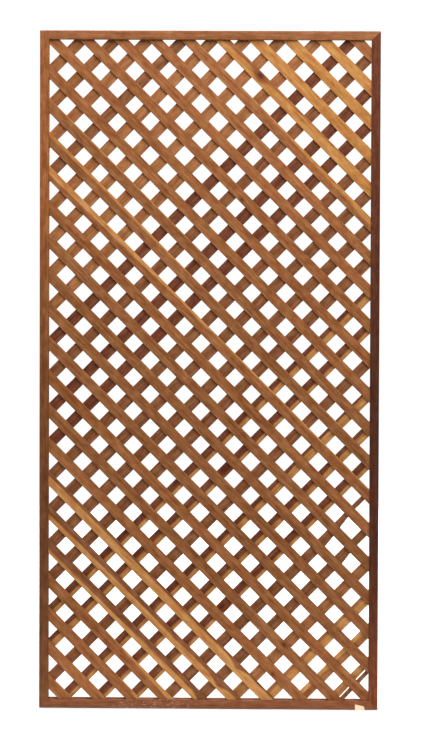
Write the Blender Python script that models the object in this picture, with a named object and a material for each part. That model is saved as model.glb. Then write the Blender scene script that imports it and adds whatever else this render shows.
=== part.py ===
"""A framed wood lattice panel, 4 ft wide and 8 ft tall.

Two layers of diagonal laths cross each other. Their ends sit in a groove that runs round the inside
of four mitred frame members, and a corrugated fastener is driven into the back of each mitre. In three
corners the short laths share a node with the crossing lath that they are stapled to. Lengths are in
metres, +Z is up, the front faces -Y, and the origin is the middle of the bottom edge.
"""

import math
from collections import namedtuple

import bmesh
import bpy
from mathutils import Matrix

# Whole panel
PANEL_WIDTH = 1.2192
PANEL_HEIGHT = 2.4384
FIT_GAP = 0.0003  # left between pieces that touch

# Frame stock
FRAME_FACE = 0.03175  # width seen from the front
FRAME_DEPTH = 0.0381
GROOVE_DEPTH = 0.0127
OUTER_ARRIS = 0.0025  # rounding of the outer long edges
OUTER_ARRIS_STEPS = 2
INNER_ARRIS = 0.001  # chamfer of the inner long edges
CORNER_RADIUS = 0.004  # rounding of the panel's four corners
MITRE = math.radians(45)

# Lath stock
LATH_WIDTH = 0.0375
WIDE_LATH_WIDTH = 0.0391
LATH_THICKNESS = 0.008
LATH_ARRIS = 0.0005
LATTICE_ANGLE = math.radians(45.15)  # from level
SHORTEST_LATH = 0.060  # a shorter offcut isn't fitted in a corner

# Where the laths lie: from the opening's corner to the first centre line, then from one to the next
FRONT_FIRST = 0.0459
FRONT_PITCH = 0.086145
FRONT_NUDGES = {
    0: -0.001, 3: -0.002, 17: -0.0015, 18: -0.0015, 20: 0.0015, 21: 0.002, 22: 0.002,
    24: 0.0015, 28: -0.003,
}
FRONT_WIDE_FROM = 24  # the wide laths start with this one
BACK_FIRST = 0.0922
BACK_PITCH = 0.08586
BACK_NUDGES = {
    6: 0.0015, 8: 0.0015, 10: 0.002, 13: -0.0015, 19: -0.0015, 20: 0.0015, 21: 0.006,
    22: 0.007, 23: 0.0045, 25: 0.0015,
}
BACK_WIDE_FROM = 12
BACK_LEANS = {21: math.radians(0.4), 22: math.radians(0.8), 23: math.radians(0.85), 25: math.radians(0.6)}

# Two back laths lose wood from their lower edge towards their upper end, as at the edge of a log.
# Each pair is a distance back from the end that shows, and the width lost there.
BACK_WANES = {
    4: ((0.160, 0), (0.087, 0.009)),
    5: ((0.263, 0), (0.218, 0.0035), (0.168, 0.010), (0.107, 0.0185), (0.075, 0.021)),
}

# How many short laths of a corner share the node of the crossing lath that they are stapled to
LOWER_LEFT_SHORT_LATHS = 2
UPPER_RIGHT_SHORT_LATHS = 2
UPPER_LEFT_SHORT_LATHS = 1

# The lowest back lath is cracked along its grain from its low end, and the strip below has sprung out
SPLIT_LATH = 0
SPLIT_STRIP_WIDTH = 0.014
SPLIT_SPRING = 0.006
SPLIT_TURN = math.radians(1.7)
SPLIT_BEND = 0.022  # length over which the strip springs out
SPLIT_END = 0.008  # from the crack's tip to the frame

# Wire staples, driven from behind with their crowns across the panel
STAPLE_CROWN = 0.010
STAPLE_WIRE = 0.0012
STAPLE_PROUD = 0.0004  # crown above the lath's face
STAPLE_CLEAR = 0.008  # least distance from a staple's middle to the frame

# Corrugated fasteners, driven flush into the back of each mitre, square across it
FASTENER_LENGTH = 0.022
FASTENER_SHEET = 0.0009
FASTENER_WAVE = 0.0016  # how far its waves swing to either side
FASTENER_WAVES = 4
FASTENER_SINK = 0.0003  # below the frame's back face
FASTENER_COVER = 0.0015  # wood left between it and the groove

# A chip out of the bottom rail's lower front edge, near its right end
CHIP_FROM_RIGHT = 0.0806  # from the panel's right edge to the chip's tall end
CHIP_LENGTH = 0.032
CHIP_SPLAY = 0.003  # how much further its short end reaches at the bottom
CHIP_TALL = 0.0212
CHIP_SHORT = 0.0137
CHIP_DEPTH = 0.002

CUTTER_REACH = 0.002  # how far a cutter stands out of the face it cuts

# Colours, as the photo shows the wood
BROWN = (0.30, 0.125, 0.050)
LIGHT_BROWN = (0.40, 0.150, 0.055)
GOLDEN = (0.58, 0.260, 0.080)
DARK_RED = (0.17, 0.048, 0.020)
REDDISH = (0.22, 0.080, 0.035)
STEEL = (0.55, 0.55, 0.53)
GOLDEN_FRONT = {5, 6, 24, 25, 26, 27}
LIGHT_FRONT = {20, 21, 22, 23}
DARK_BACK = {6, 7, 10, 11, 16, 17, 19}
LIGHT_BACK = {20, 21, 22, 23, 25}
WOOD_ROUGHNESS = 0.65
STEEL_ROUGHNESS = 0.4

HALF_WIDTH = PANEL_WIDTH / 2
HALF_DEPTH = FRAME_DEPTH / 2
GROOVE_WIDTH = 2 * LATH_THICKNESS + 3 * FIT_GAP
LAYER_DEPTH = (LATH_THICKNESS + FIT_GAP) / 2  # from the middle of the frame to that of a layer
BACK_FACE = FIT_GAP / 2 + LATH_THICKNESS  # of the back laths

Layer = namedtuple("Layer", "name tilt depth first pitch nudges leans wanes wide_from golden light dark")
Lath = namedtuple("Lath", "layer index offset length width")
Group = namedtuple("Group", "name long shorts")

FRONT = Layer(
    "front", LATTICE_ANGLE, -LAYER_DEPTH, FRONT_FIRST, FRONT_PITCH, FRONT_NUDGES, {}, {},
    FRONT_WIDE_FROM, GOLDEN_FRONT, LIGHT_FRONT, set(),
)
BACK = Layer(
    "back", -LATTICE_ANGLE, LAYER_DEPTH, BACK_FIRST, BACK_PITCH, BACK_NUDGES, BACK_LEANS, BACK_WANES,
    BACK_WIDE_FROM, set(), LIGHT_BACK, DARK_BACK,
)


def remove_everything():
    for obj in list(bpy.data.objects):
        bpy.data.objects.remove(obj, do_unlink=True)


def surface(name, colour, roughness, metallic):
    material = bpy.data.materials.new(name)
    material.use_nodes = True
    shader = material.node_tree.nodes["Principled BSDF"]
    shader.inputs["Base Color"].default_value = (*colour, 1.0)
    shader.inputs["Roughness"].default_value = roughness
    shader.inputs["Metallic"].default_value = metallic
    material.diffuse_color = (*colour, 1.0)
    return material


def wooden(obj, colour):
    obj.data.materials.append(surface(obj.name, colour, WOOD_ROUGHNESS, 0))


def steel(obj):
    obj.data.materials.append(surface(obj.name, STEEL, STEEL_ROUGHNESS, 1))


def add_object(name, mesh, parent=None, location=(0, 0, 0), tilt=0.0):
    """Puts an object in the scene, turned about Y. With no mesh it is an empty."""
    obj = bpy.data.objects.new(name, mesh)
    bpy.context.collection.objects.link(obj)
    obj.parent = parent
    obj.location = location
    obj.rotation_euler = (0, tilt, 0)
    return obj


def mesh_from(bm, name):
    """A mesh of the bmesh's shape, with its faces turned outwards."""
    bmesh.ops.recalc_face_normals(bm, faces=bm.faces)
    mesh = bpy.data.meshes.new(name)
    bm.to_mesh(mesh)
    bm.free()
    return mesh


def as_tool(obj):
    """Marks an object that only shapes others, and isn't a piece itself."""
    obj.hide_render = True
    obj.display_type = "WIRE"
    return obj


def cut_out(obj, tool):
    step = obj.modifiers.new(tool.name, "BOOLEAN")
    step.operation = "DIFFERENCE"
    step.solver = "EXACT"
    step.object = as_tool(tool)


def join_on(obj, parts):
    """Joins several shapes to an object in one step."""
    collection = bpy.data.collections.new(obj.name + "_parts")
    for part in parts:
        collection.objects.link(as_tool(part))
    step = obj.modifiers.new(collection.name, "BOOLEAN")
    step.operation = "UNION"
    step.solver = "EXACT"
    step.operand_type = "COLLECTION"
    step.collection = collection


def cut_away(bm, point, outward):
    """Cuts off what lies beyond a plane, and closes the cut."""
    everything = bm.verts[:] + bm.edges[:] + bm.faces[:]
    cut = bmesh.ops.bisect_plane(
        bm, geom=everything, plane_co=point, plane_no=outward, clear_outer=True
    )
    rim = [part for part in cut["geom_cut"] if isinstance(part, bmesh.types.BMEdge)]
    if rim:
        bmesh.ops.edgeloop_fill(bm, edges=rim)


def prism(outline, low, high):
    """An outline of (x, z) points, carried along Y from low to high."""
    bm = bmesh.new()
    face = bm.faces.new([bm.verts.new((x, low, z)) for x, z in outline])
    extruded = bmesh.ops.extrude_face_region(bm, geom=[face], use_keep_orig=True)
    moved = [part for part in extruded["geom"] if isinstance(part, bmesh.types.BMVert)]
    bmesh.ops.translate(bm, verts=moved, vec=(0, high - low, 0))
    return bm


def arc(centre, radius, start, end, steps):
    """Points on a circle, from one angle in degrees to another."""
    points = []
    for step in range(steps + 1):
        angle = math.radians(start + (end - start) * step / steps)
        points.append((centre[0] + radius * math.cos(angle), centre[1] + radius * math.sin(angle)))
    return points


def frame_profile():
    """The frame stock's section, as (distance in from the panel's edge, depth) points."""
    groove_floor = FRAME_FACE - GROOVE_DEPTH
    back_centre = (OUTER_ARRIS, HALF_DEPTH - OUTER_ARRIS)
    front_centre = (OUTER_ARRIS, OUTER_ARRIS - HALF_DEPTH)
    inner_side = [
        (FRAME_FACE - INNER_ARRIS, -HALF_DEPTH),
        (FRAME_FACE, INNER_ARRIS - HALF_DEPTH),
        (FRAME_FACE, -GROOVE_WIDTH / 2),
        (groove_floor, -GROOVE_WIDTH / 2),
        (groove_floor, GROOVE_WIDTH / 2),
        (FRAME_FACE, GROOVE_WIDTH / 2),
        (FRAME_FACE, HALF_DEPTH - INNER_ARRIS),
        (FRAME_FACE - INNER_ARRIS, HALF_DEPTH),
    ]
    back_edge = arc(back_centre, OUTER_ARRIS, 90, 180, OUTER_ARRIS_STEPS)
    front_edge = arc(front_centre, OUTER_ARRIS, 180, 270, OUTER_ARRIS_STEPS)
    return back_edge + front_edge + inner_side


def round_the_tips(bm, length):
    """Trims a member's two outer tips, so that the panel's corners are slightly round."""
    lean = MITRE / 2
    for side in (-1, 1):
        outward = (side * math.sin(lean), 0, -math.cos(lean))
        centre = (side * (length / 2 - CORNER_RADIUS), 0, CORNER_RADIUS)
        point = [middle + CORNER_RADIUS * way for middle, way in zip(centre, outward)]
        cut_away(bm, point, outward)


def frame_member(name, panel, length, location, tilt, colour):
    """A grooved member with mitred ends: X runs along it, and Z points into the panel."""
    profile = frame_profile()
    reach = length / 2 - FIT_GAP * math.cos(MITRE)
    bm = bmesh.new()
    ends = []
    for side in (-1, 1):
        corners = [(side * (reach - inward), depth, inward) for inward, depth in profile]
        ends.append([bm.verts.new(corner) for corner in corners])
        bm.faces.new(ends[-1])
    for here in range(len(profile)):
        after = (here + 1) % len(profile)
        bm.faces.new((ends[0][here], ends[0][after], ends[1][after], ends[1][here]))
    round_the_tips(bm, length)
    member = add_object(name, mesh_from(bm, name), panel, location, tilt)
    wooden(member, colour)
    return member


def frame(panel):
    """Four mitred members, the corrugated fasteners across their mitres, and the chip."""
    quarter = math.pi / 2
    middle = PANEL_HEIGHT / 2
    bottom = frame_member("bottom_rail", panel, PANEL_WIDTH, (0, 0, 0), 0, REDDISH)
    top = frame_member("top_rail", panel, PANEL_WIDTH, (0, 0, PANEL_HEIGHT), 2 * quarter, BROWN)
    left = frame_member("left_stile", panel, PANEL_HEIGHT, (-HALF_WIDTH, 0, middle), quarter, BROWN)
    right = frame_member("right_stile", panel, PANEL_HEIGHT, (HALF_WIDTH, 0, middle), -quarter, DARK_RED)
    mitre_fastener("lower_left", panel, -1, 0, (bottom, left))
    mitre_fastener("lower_right", panel, 1, 0, (bottom, right))
    mitre_fastener("upper_left", panel, -1, 1, (top, left))
    mitre_fastener("upper_right", panel, 1, 1, (top, right))
    cut_out(bottom, chip())


def wavy_outline(length, thickness):
    """A corrugated strip seen end on: half a wave's swing at a time, up one side and down the other."""
    peaks = 2 * FASTENER_WAVES
    middle = []
    for peak in range(peaks + 1):
        along = length * (peak / peaks - 0.5)
        swing = FASTENER_WAVE if peak % 2 else -FASTENER_WAVE
        middle.append((along, swing))
    lower = [(along, swing - thickness / 2) for along, swing in middle]
    upper = [(along, swing + thickness / 2) for along, swing in reversed(middle)]
    return lower + upper


def mitre_fastener(corner, panel, side, top, members):
    """A corrugated fastener across the middle of one mitre, and its slot in both members."""
    height = FRAME_FACE / 2
    z = PANEL_HEIGHT - height if top else height
    x = side * (HALF_WIDTH - height)
    tilt = MITRE * side * (-1 if top else 1)
    tip = GROOVE_WIDTH / 2 + FASTENER_COVER
    crest = HALF_DEPTH - FASTENER_SINK
    name = "mitre_fastener_" + corner
    strip = prism(wavy_outline(FASTENER_LENGTH, FASTENER_SHEET), tip, crest)
    steel(add_object(name, mesh_from(strip, name), panel, (x, 0, z), tilt))
    slope = math.atan(4 * FASTENER_WAVES * FASTENER_WAVE / FASTENER_LENGTH)
    slot_width = FASTENER_SHEET + 2 * FIT_GAP / math.cos(slope)
    slot_outline = wavy_outline(FASTENER_LENGTH + 2 * FIT_GAP, slot_width)
    slot = prism(slot_outline, tip - FIT_GAP, HALF_DEPTH + CUTTER_REACH)
    slot_tool = add_object(name + "_slot", mesh_from(slot, name + "_slot"), None, (x, 0, z), tilt)
    for member in members:
        cut_out(member, slot_tool)


def chip():
    """The wedge of wood that is missing from the bottom rail."""
    tall_end = HALF_WIDTH - CHIP_FROM_RIGHT
    short_end = tall_end + CHIP_LENGTH
    outline = [
        (tall_end, -CUTTER_REACH),
        (short_end + CHIP_SPLAY, -CUTTER_REACH),
        (short_end, CHIP_SHORT),
        (tall_end, CHIP_TALL),
    ]
    wedge = prism(outline, -HALF_DEPTH - CUTTER_REACH, CHIP_DEPTH - HALF_DEPTH)
    return add_object("chip", mesh_from(wedge, "chip"))


def rectangle(margin):
    """Low and high corners of the frame's opening, grown by a margin."""
    side = HALF_WIDTH - FRAME_FACE + margin
    return (-side, FRAME_FACE - margin), (side, PANEL_HEIGHT - FRAME_FACE + margin)


def across(layer, x, z):
    """How far a point of the panel lies across a layer's laths."""
    return x * math.sin(layer.tilt) + z * math.cos(layer.tilt)


def run(layer, offset, margin):
    """Where a centre line enters and leaves the opening, grown by a margin, measured along it."""
    start, end = -math.inf, math.inf
    direction = (math.cos(layer.tilt), -math.sin(layer.tilt))
    foot = (offset * math.sin(layer.tilt), offset * math.cos(layer.tilt))
    for way, base, least, most in zip(direction, foot, *rectangle(margin)):
        near, far = sorted(((least - base) / way, (most - base) / way))
        start, end = max(start, near), min(end, far)
    return start, max(start, end)


def laths(layer):
    """The laths of a layer, from the opening's low corner to its high one."""
    low, high = rectangle(0)
    corners = [across(layer, x, z) for x in (low[0], high[0]) for z in (low[1], high[1])]
    found = []
    spot = min(corners) + layer.first
    while spot < max(corners):
        offset = spot + layer.nudges.get(len(found), 0)
        start, end = run(layer, offset, 0)
        width = LATH_WIDTH if len(found) < layer.wide_from else WIDE_LATH_WIDTH
        if end - start >= SHORTEST_LATH:
            found.append(Lath(layer, len(found), offset, end - start, width))
        spot += layer.pitch
    return found


def is_split(lath):
    return lath.layer is BACK and lath.index == SPLIT_LATH


def straight_board(length, width):
    """A lath's stock along X, with its long edges eased."""
    bm = bmesh.new()
    bmesh.ops.create_cube(bm, size=1)
    bmesh.ops.scale(bm, verts=bm.verts, vec=(length, LATH_THICKNESS, width))
    long_edges = [edge for edge in bm.edges if edge.calc_length() > length / 2]
    bmesh.ops.bevel(bm, geom=long_edges, offset=LATH_ARRIS, segments=1, affect="EDGES")
    return bm


def waney_board(length, width, shown, wane):
    """A lath along X that loses wood from its lower edge towards the end of the part that shows."""
    side = width / 2
    end = length / 2
    lower = [(shown / 2 - back, lost - side) for back, lost in wane]
    outline = [(end, side), (-end, side), (-end, -side), *lower, (end, lower[-1][1])]
    return prism(outline, -LATH_THICKNESS / 2, LATH_THICKNESS / 2)


def split_board(length, width, shown):
    """The cracked lath along X: the crack runs to its tip from the low end."""
    side = width / 2
    crack = SPLIT_STRIP_WIDTH - side
    tip = shown / 2 - SPLIT_END
    bend = tip - SPLIT_BEND
    end = length / 2
    slant = math.tan(SPLIT_TURN)
    outline = [
        (end, -side),
        (end, side),
        (-end, side),
        (-end, crack - (tip + end) * slant),
        (tip, crack),
        (bend, crack - SPLIT_SPRING),
        (-end, crack - SPLIT_SPRING - (bend + end) * slant),
        (-end, -side - SPLIT_SPRING - (bend + end) * slant),
        (bend, -side - SPLIT_SPRING),
        (tip, -side),
    ]
    return prism(outline, -LATH_THICKNESS / 2, LATH_THICKNESS / 2)


def saw_off(bm, to_panel):
    """Ends a lath just short of the groove's floor on every side of the opening."""
    low, high = rectangle(GROOVE_DEPTH - FIT_GAP)
    bm.transform(to_panel)
    cut_away(bm, (low[0], 0, 0), (-1, 0, 0))
    cut_away(bm, (high[0], 0, 0), (1, 0, 0))
    cut_away(bm, (0, 0, low[1]), (0, 0, -1))
    cut_away(bm, (0, 0, high[1]), (0, 0, 1))
    bm.transform(to_panel.inverted())


def lath_colour(lath):
    if lath.index in lath.layer.golden:
        return GOLDEN
    if lath.index in lath.layer.light:
        return LIGHT_BROWN
    return DARK_RED if lath.index in lath.layer.dark else BROWN


def board(lath):
    """A lath's shape before its ends are cut, with its middle at the origin."""
    spare = 2 * (lath.width + GROOVE_DEPTH)  # so that the saw cuts are what ends it
    length = lath.length + 2 * spare
    wane = lath.layer.wanes.get(lath.index)
    if is_split(lath):
        return split_board(length, lath.width, lath.length)
    if wane:
        return waney_board(length, lath.width, lath.length, wane)
    return straight_board(length, lath.width)


def add_lath(lath, name, turned):
    """One lath, whose origin is the middle of the part that shows."""
    start, end = run(lath.layer, lath.offset, 0)
    middle = (start + end) / 2
    bm = board(lath)
    bm.transform(Matrix.Rotation(-lath.layer.leans.get(lath.index, 0), 4, "Y"))
    place = Matrix.Translation((middle, 0, lath.offset))
    turn = Matrix.Rotation(lath.layer.tilt, 4, "Y")
    saw_off(bm, Matrix.Translation((0, lath.layer.depth, 0)) @ turn @ place)
    obj = add_object(name, mesh_from(bm, name), turned[lath.layer.name], place.to_translation())
    wooden(obj, lath_colour(lath))
    return obj


def staple_spot(lath, other):
    """Where a staple holds two crossing laths, moved clear of the frame if need be."""
    front, back = (lath, other) if lath.layer is FRONT else (other, lath)
    x = (front.offset - back.offset) / (2 * math.sin(LATTICE_ANGLE))
    z = (front.offset + back.offset) / (2 * math.cos(LATTICE_ANGLE))
    low, high = rectangle(-STAPLE_CLEAR)
    return min(max(x, low[0]), high[0]), min(max(z, low[1]), high[1])


def corner_group(name, shorts, crossing, side, top):
    """The short laths of a corner, with the crossing lath that runs nearest into that corner."""
    corner = rectangle(0)[top]
    spot = across(crossing[0].layer, side * abs(corner[0]), corner[1])
    long = min(crossing, key=lambda lath: abs(lath.offset - spot))
    return Group(name + "_corner_laths", long, shorts)


def staple(x, z, name):
    """A U of wire: its crown lies in the back lath's face, and its legs end inside the front lath."""
    outer = STAPLE_CROWN / 2
    inner = outer - STAPLE_WIRE
    top = BACK_FACE + STAPLE_PROUD
    under = top - STAPLE_WIRE
    tip = FRONT.depth
    outline = [
        (-outer, tip), (-inner, tip), (-inner, under), (inner, under),
        (inner, tip), (outer, tip), (outer, top), (-outer, top),
    ]
    bm = prism(outline, -STAPLE_WIRE / 2, STAPLE_WIRE / 2)
    bm.transform(Matrix(((1, 0, 0, x), (0, 0, 1, 0), (0, -1, 0, z), (0, 0, 0, 1))))
    return add_object(name, mesh_from(bm, name))


def lattice(panel):
    """Both layers of laths, numbered upwards. A corner's group is one body, joined by its staples."""
    front, back = laths(FRONT), laths(BACK)
    lower_left = [front[number] for number in range(LOWER_LEFT_SHORT_LATHS)]
    upper_right = [front[-1 - number] for number in range(UPPER_RIGHT_SHORT_LATHS)]
    upper_left = [back[-1 - number] for number in range(UPPER_LEFT_SHORT_LATHS)]
    groups = [
        corner_group("lower_left", lower_left, back, -1, 0),
        corner_group("upper_right", upper_right, back, 1, 1),
        corner_group("upper_left", upper_left, front, -1, 1),
    ]
    turned = {}
    for layer in (FRONT, BACK):
        turned[layer.name] = add_object(layer.name + "_layer", None, panel, (0, layer.depth, 0), layer.tilt)
    grouped = []
    for name, long, shorts in groups:
        parts = []
        for number, short in enumerate(shorts):
            parts.append(staple(*staple_spot(short, long), "{}_staple_{}".format(name, number)))
            parts.append(add_lath(short, "{}_short_{}".format(name, number), turned))
        join_on(add_lath(long, name, turned), parts)
        grouped += [long, *shorts]
    for lath in front + back:
        if lath not in grouped:
            add_lath(lath, "{}_lath_{:02d}".format(lath.layer.name, lath.index + 1), turned)


def build():
    remove_everything()
    panel = add_object("lattice_panel", None)
    frame(panel)
    lattice(panel)


build()
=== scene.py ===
"""The looks of the lattice panel: stained wood laths and frame, wire staples, and the photo's view.

The frame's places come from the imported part. Every lath and frame member is made again here with
rounder edges and its own grain. Lengths are in metres, +Z is up and the front faces -Y.
"""

import math
import random
from collections import namedtuple

import bmesh
import bpy
from mathutils import Matrix, Vector, noise

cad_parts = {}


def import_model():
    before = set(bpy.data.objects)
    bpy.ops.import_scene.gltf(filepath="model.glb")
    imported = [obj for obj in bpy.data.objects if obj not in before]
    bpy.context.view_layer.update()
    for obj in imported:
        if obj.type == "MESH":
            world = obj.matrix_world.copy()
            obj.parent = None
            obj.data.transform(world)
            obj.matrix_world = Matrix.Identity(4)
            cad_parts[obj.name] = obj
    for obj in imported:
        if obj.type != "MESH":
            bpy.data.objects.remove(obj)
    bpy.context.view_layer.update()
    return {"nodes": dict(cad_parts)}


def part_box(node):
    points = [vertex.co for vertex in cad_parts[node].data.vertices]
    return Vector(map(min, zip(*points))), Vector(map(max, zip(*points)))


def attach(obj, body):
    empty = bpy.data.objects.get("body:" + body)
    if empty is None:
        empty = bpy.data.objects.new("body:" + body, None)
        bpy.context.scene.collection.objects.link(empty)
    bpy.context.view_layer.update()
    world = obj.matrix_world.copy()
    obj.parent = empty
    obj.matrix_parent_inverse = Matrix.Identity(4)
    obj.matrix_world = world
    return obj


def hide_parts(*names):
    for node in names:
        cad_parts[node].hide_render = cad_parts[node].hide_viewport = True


# Lath stock, as in the part
LATH_WIDTH = 0.0375
WIDE_LATH_WIDTH = 0.0391
WIDE_FRONT_FROM = 24  # laths from this one on are the wide ones
WIDE_BACK_FROM = 12
LATH_THICKNESS = 0.008
CAD_ARRIS = 0.0005  # the part's lath edges are this far in on the outer face
LATTICE_ANGLE = math.radians(45.15)
LAYER_DEPTH = 0.00415  # from the middle of the panel to the middle of a layer
LAYER_SPLIT = 0.043  # more than this across the laths is the gap between two laths

# Frame stock, as in the part
FRAME_FACE = 0.03175
GROOVE_DEPTH = 0.0127
GROOVE_WIDTH = 0.0169
OUTER_ARRIS = 0.0025
INNER_ARRIS = 0.0012
CORNER_RADIUS = 0.004
FIT_GAP = 0.0003
INSIDE = 0.00005  # the visible frame is this much smaller than the part's
MITRE_DEGREES = 45
MITRE_GAP = 0.00003  # a member's ends are this far back from the mitre, along its length
GROOVE_LIGHT_EDGE = 0.0004  # the painted light in the groove reaches this far beyond it

# How the finer shapes are made
LATH_ARRIS = 0.0009
LATH_ARRIS_STEPS = 2  # on laths that are made from an outline
WEAR_BAND = 0.0026  # how far edge wear reaches in from an edge
WORN_SHARE = 0.9  # share of a frame arris that is worn
LATH_STEP = 0.018
FRAME_STEP = 0.022
ARC_STEPS = 3
CORNER_STEPS = 4  # in each member's half of a round corner of the panel
SHARP_ANGLE = math.radians(40)  # an edge that turns by more than this stays sharp

# How far a sawn edge wanders from straight, in long waves and in weaker short ones
EDGE_WAVE = 0.00025
LONG_WAVES = 9  # per metre
SHORT_WAVES = 40
SHORT_SHARE = 0.4
LONG_ROW = 0.5  # rows of the noise that the waves come from
SHORT_ROW = 7.5
ROWS_APART = 3.7
EDGE_SEEDS = 50  # seeds that an edge's laths take up, and a layer's edges
LAYER_SEEDS = 200

# Where each piece lies in the wood's noise: the step from one seed to the next, and the first seeds
GRAIN_SHIFT = (1.37, 0.61, 0.29)
FRONT_SEED = 1
BACK_SEED = 41
FRAME_SEED = 90

# The split lath, as in the part
SPLIT_LATH = 0
SPLIT_STRIP_WIDTH = 0.014
SPLIT_SPRING = 0.006
SPLIT_TURN = math.radians(1.7)
SPLIT_BEND = 0.022
SPLIT_END = 0.008

# The waney laths, as in the part: distance back from the end that shows, and width lost
BACK_WANES = {
    4: ((0.160, 0), (0.087, 0.009)),
    5: ((0.263, 0), (0.218, 0.0035), (0.168, 0.010), (0.107, 0.0185), (0.075, 0.021)),
}

# The chip in the bottom rail, as in the part
CHIP_FROM_RIGHT = 0.0806
CHIP_LENGTH = 0.032
CHIP_SPLAY = 0.003
CHIP_TALL = 0.0212
CHIP_SHORT = 0.0137
CHIP_DEPTH = 0.002
CUTTER_SPARE = 0.002  # how far the body that cuts the chip stands out of the rail

# Wire staples, made with the tops of their legs
STAPLE_CROWN = 0.010
STAPLE_WIRE = 0.0012
STAPLE_SIDES = 6
STAPLE_LEG = 0.003
STAPLE_BEND = 0.0012
BEND_MIDDLE = 0.35  # how far along and down the middle of the bend lies, as a share of it
STAPLE_PROUD = 0.0004
STAPLE_CLEAR = 0.008  # staples are placed at least this far from the frame
STAPLE_STRAY = LATH_WIDTH / 3  # and at most this far from their crossing
STAPLE_TURN = 0.12  # how much they are out of line, in radians
STAPLE_SHIFT = 0.0012  # and out of place
STAPLE_SEED = 7

# Which laths have which tone; the others are brown. Laths are counted from the bottom left corner
# for the front and from the bottom right corner for the back, starting with 0.
FRONT_TONES = {
    "golden": {25, 26, 27},
    "medium": {8, 10, 11, 12, 13, 16, 17},
    "light": {0, 1, 21, 22, 23, 24, 28},
    "dull": {4, 5, 6},
}
BACK_TONES = {
    "split": {0},
    "dark": {6, 7, 8, 10, 11, 16, 17, 19},
    "dull": {4, 5, 9, 12, 13, 14, 15, 18, 24},
    "medium": {26, 27},
    "pale": {1, 2, 3, 20, 21, 22, 23, 25},
}

# How much lighter or darker a frame member is made along its length, partly its own tone and partly
# painted light and shade: pairs of share and factor
FRAME_TONE_AND_LIGHT = {
    "bottom_rail": ((0, 0.98), (0.9, 1.04), (1, 1.1)),
    "top_rail": ((0, 1), (1, 1)),
    "left_stile": (
        (0, 1.25), (0.02, 0.90), (0.25, 0.80), (0.42, 0.91), (0.58, 1.28), (0.75, 1.65), (1, 1.60),
    ),
    "right_stile": (
        (0, 1.75), (0.12, 1.10), (0.25, 0.66), (0.42, 0.62), (0.58, 0.76), (0.75, 0.92), (1, 1.2),
    ),
}
GROOVE_PAINTED_LIGHT = 1.7  # painted light: wood in the groove is made this much lighter, to lift the shade that falls in it

# Sapwood along one edge of a lath: which edge (1 is the upper one), and its width from the lath's
# left end over its middle to its right end. Where the width is below 0 there is none.
Sap = namedtuple("Sap", "edge left middle right")
FRONT_SAP = {
    2: Sap(1, -0.010, -0.006, 0.008),
    3: Sap(1, -0.008, 0.000, 0.015),
    4: Sap(-1, 0.009, 0.016, 0.023),
    5: Sap(-1, 0.016, 0.021, 0.025),
    6: Sap(-1, 0.025, 0.029, 0.031),
    15: Sap(1, 0.021, 0.006, 0.004),
    16: Sap(1, 0.012, 0.001, 0.000),
    17: Sap(1, 0.004, 0.000, -0.004),
    23: Sap(1, -0.004, 0.006, 0.020),
    24: Sap(-1, 0.023, 0.030, 0.036),
}
BACK_SAP = {
    0: Sap(-1, 0.013, 0.013, 0.013),
    1: Sap(1, 0.014, 0.015, 0.017),
    2: Sap(-1, 0.025, 0.029, 0.027),
    6: Sap(-1, 0.012, 0.011, 0.014),
    7: Sap(-1, 0.011, 0.015, 0.022),
    8: Sap(-1, 0.013, 0.017, 0.031),
    10: Sap(-1, 0.022, 0.012, 0.013),
    11: Sap(-1, 0.014, 0.013, 0.024),
}
NO_SAP = -1.0  # far outside the sapwood
SAP_BLUR = 0.003  # its edge is this soft to either side
SAP_WANDER = 0.008  # and wanders by this much times the noise of the bands

# Knots: place across and up the panel, and radius
Knot = namedtuple("Knot", "x z radius")
NO_KNOT = Knot(10, 10, 0.01)
FRONT_KNOTS = {
    7: Knot(0.233, 0.125, 0.005),
    8: Knot(0.273, 0.231, 0.007),
    20: Knot(0.115, 1.834, 0.005),
    24: Knot(0.180, 2.279, 0.011),
}
BACK_KNOTS = {
    6: Knot(0.049, 0.369, 0.011),
    10: Knot(0.058, 0.866, 0.019),
    24: Knot(-0.331, 2.191, 0.006),
}
KNOT_STRETCH = 0.6  # knots are longer along the grain than across it
KNOT_SQUEEZE = 0.013  # width that sapwood loses beside a knot
KNOT_REACH = 0.030  # how far along the lath it does

# Camera, solved from the corners of the panel in the photo
CAMERA_PLACE = (0.18, -7.82, 2.0)
CAMERA_PITCH = math.radians(1.420)  # down
CAMERA_YAW = math.radians(0.730)  # to the left
CAMERA_ROLL = math.radians(0.212)
PHOTO_TALL = 750
FOCAL_PIXELS = 2180.0
SENSOR = 36.0
CAMERA_SHIFT = (-0.0210, -0.2233)

# How the wood's tones are turned into colours: what the light adds up to, the sheen on top, and
# the darkest and lightest colour that a surface may have
BRIGHTNESS = 1.86
SHEEN = 0.014
DARKEST = 0.001
LIGHTEST = 0.95

# Light and surroundings
BACKDROP = 1.06  # strength of the white backdrop behind the panel
ROOM = 0.20  # strength of the dim room in front of it
BACKDROP_EDGE = 0.3  # half the width of the change between them
FLOOR_SIZE = 9
FLOOR_COLOUR = (0.66, 0.66, 0.66)
FLOOR_ROUGH = 0.9

# Lamps: where each stands, what it points at, how wide and tall it is, and its power
Lamp = namedtuple("Lamp", "place aim wide tall power")
LAMPS = {
    "key": Lamp((0.4, -3.2, 5.2), (0, 0, 1.4), 3.8, 3.8, 552),
    "low_strip": Lamp((0, -0.26, 0.06), (0, 0, 0.10), 2.0, 0.12, 1.4),
    "floor_wash": Lamp((0, 2.8, 4.0), (0, 2.2, 0), 4.0, 4.0, 300),
}
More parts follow.
